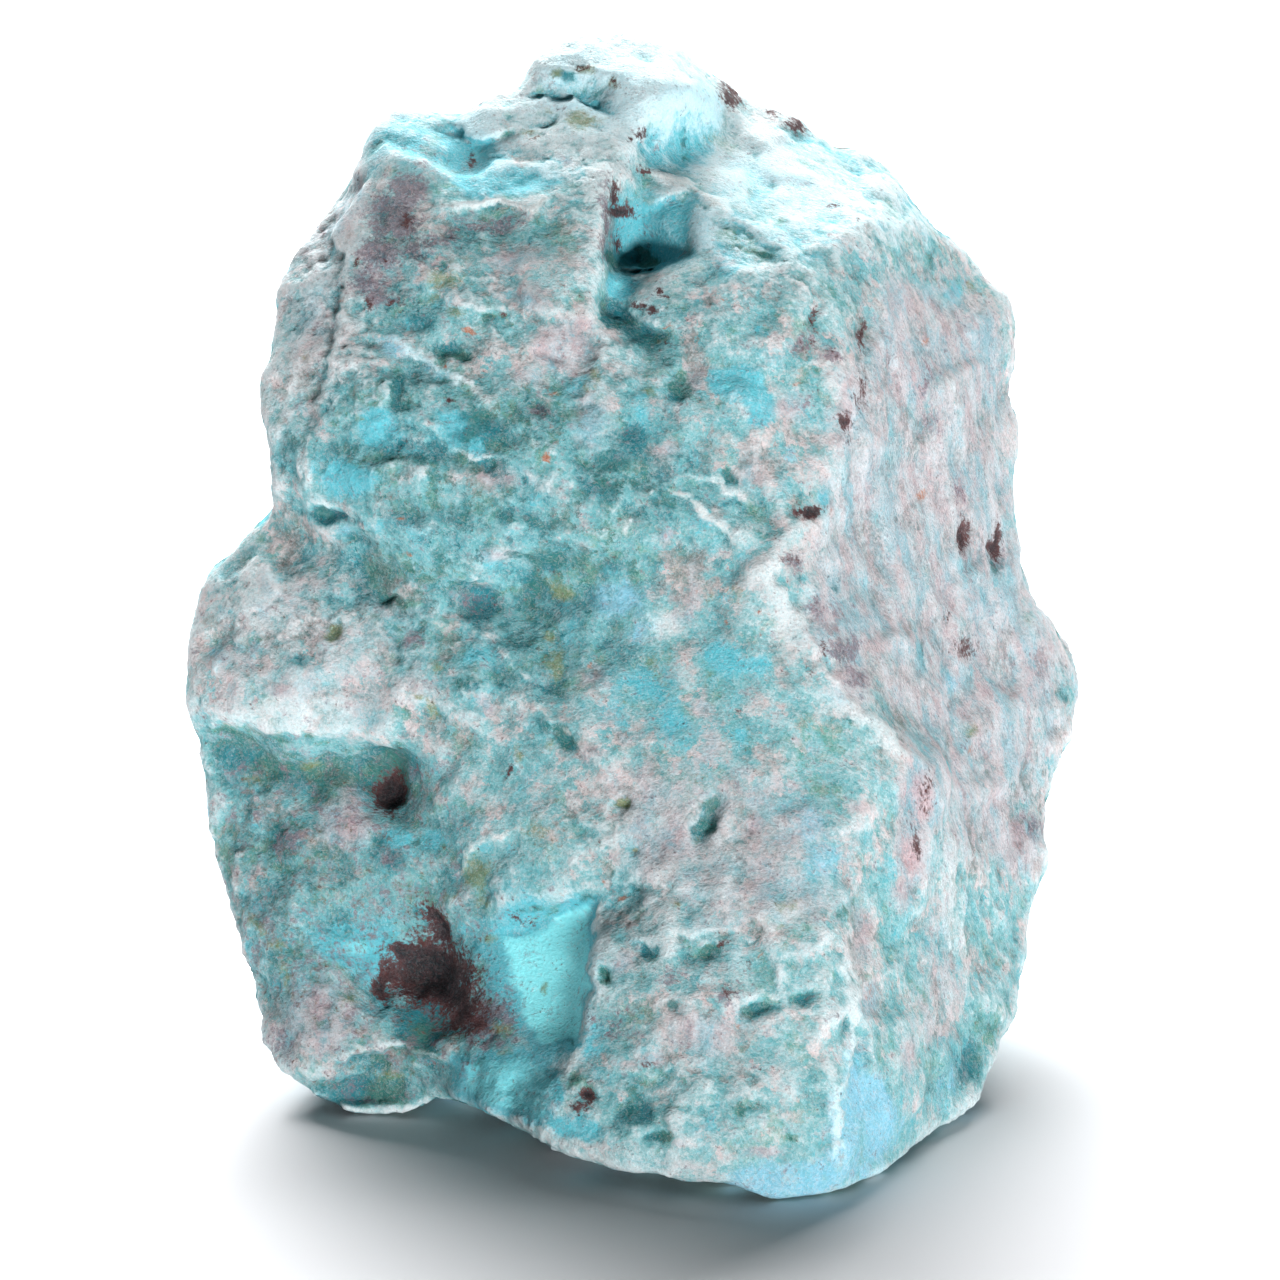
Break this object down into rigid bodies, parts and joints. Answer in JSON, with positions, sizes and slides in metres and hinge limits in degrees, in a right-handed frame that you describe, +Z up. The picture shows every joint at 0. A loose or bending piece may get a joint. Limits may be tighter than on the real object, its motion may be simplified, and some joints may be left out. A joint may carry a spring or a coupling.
{
  "type": "raw chrysocolla stone",
  "caption": "Rough broken lump of blue-green chrysocolla with a cleft near the top, standing on a flat broken base.",
  "frame": {"origin": "on the surface it stands on, under the middle of its extent", "axes": "+Z up, -Y towards the side with the cleft, +X to that side's right"},
  "size_m": [0.0548, 0.0456, 0.0608],
  "materials": {
    "chrysocolla": "matte, powdery, with waxy smooth patches"
  },
  "bodies": {
    "root": {"chrysocolla": "chrysocolla"}
  },
  "joints": []
}
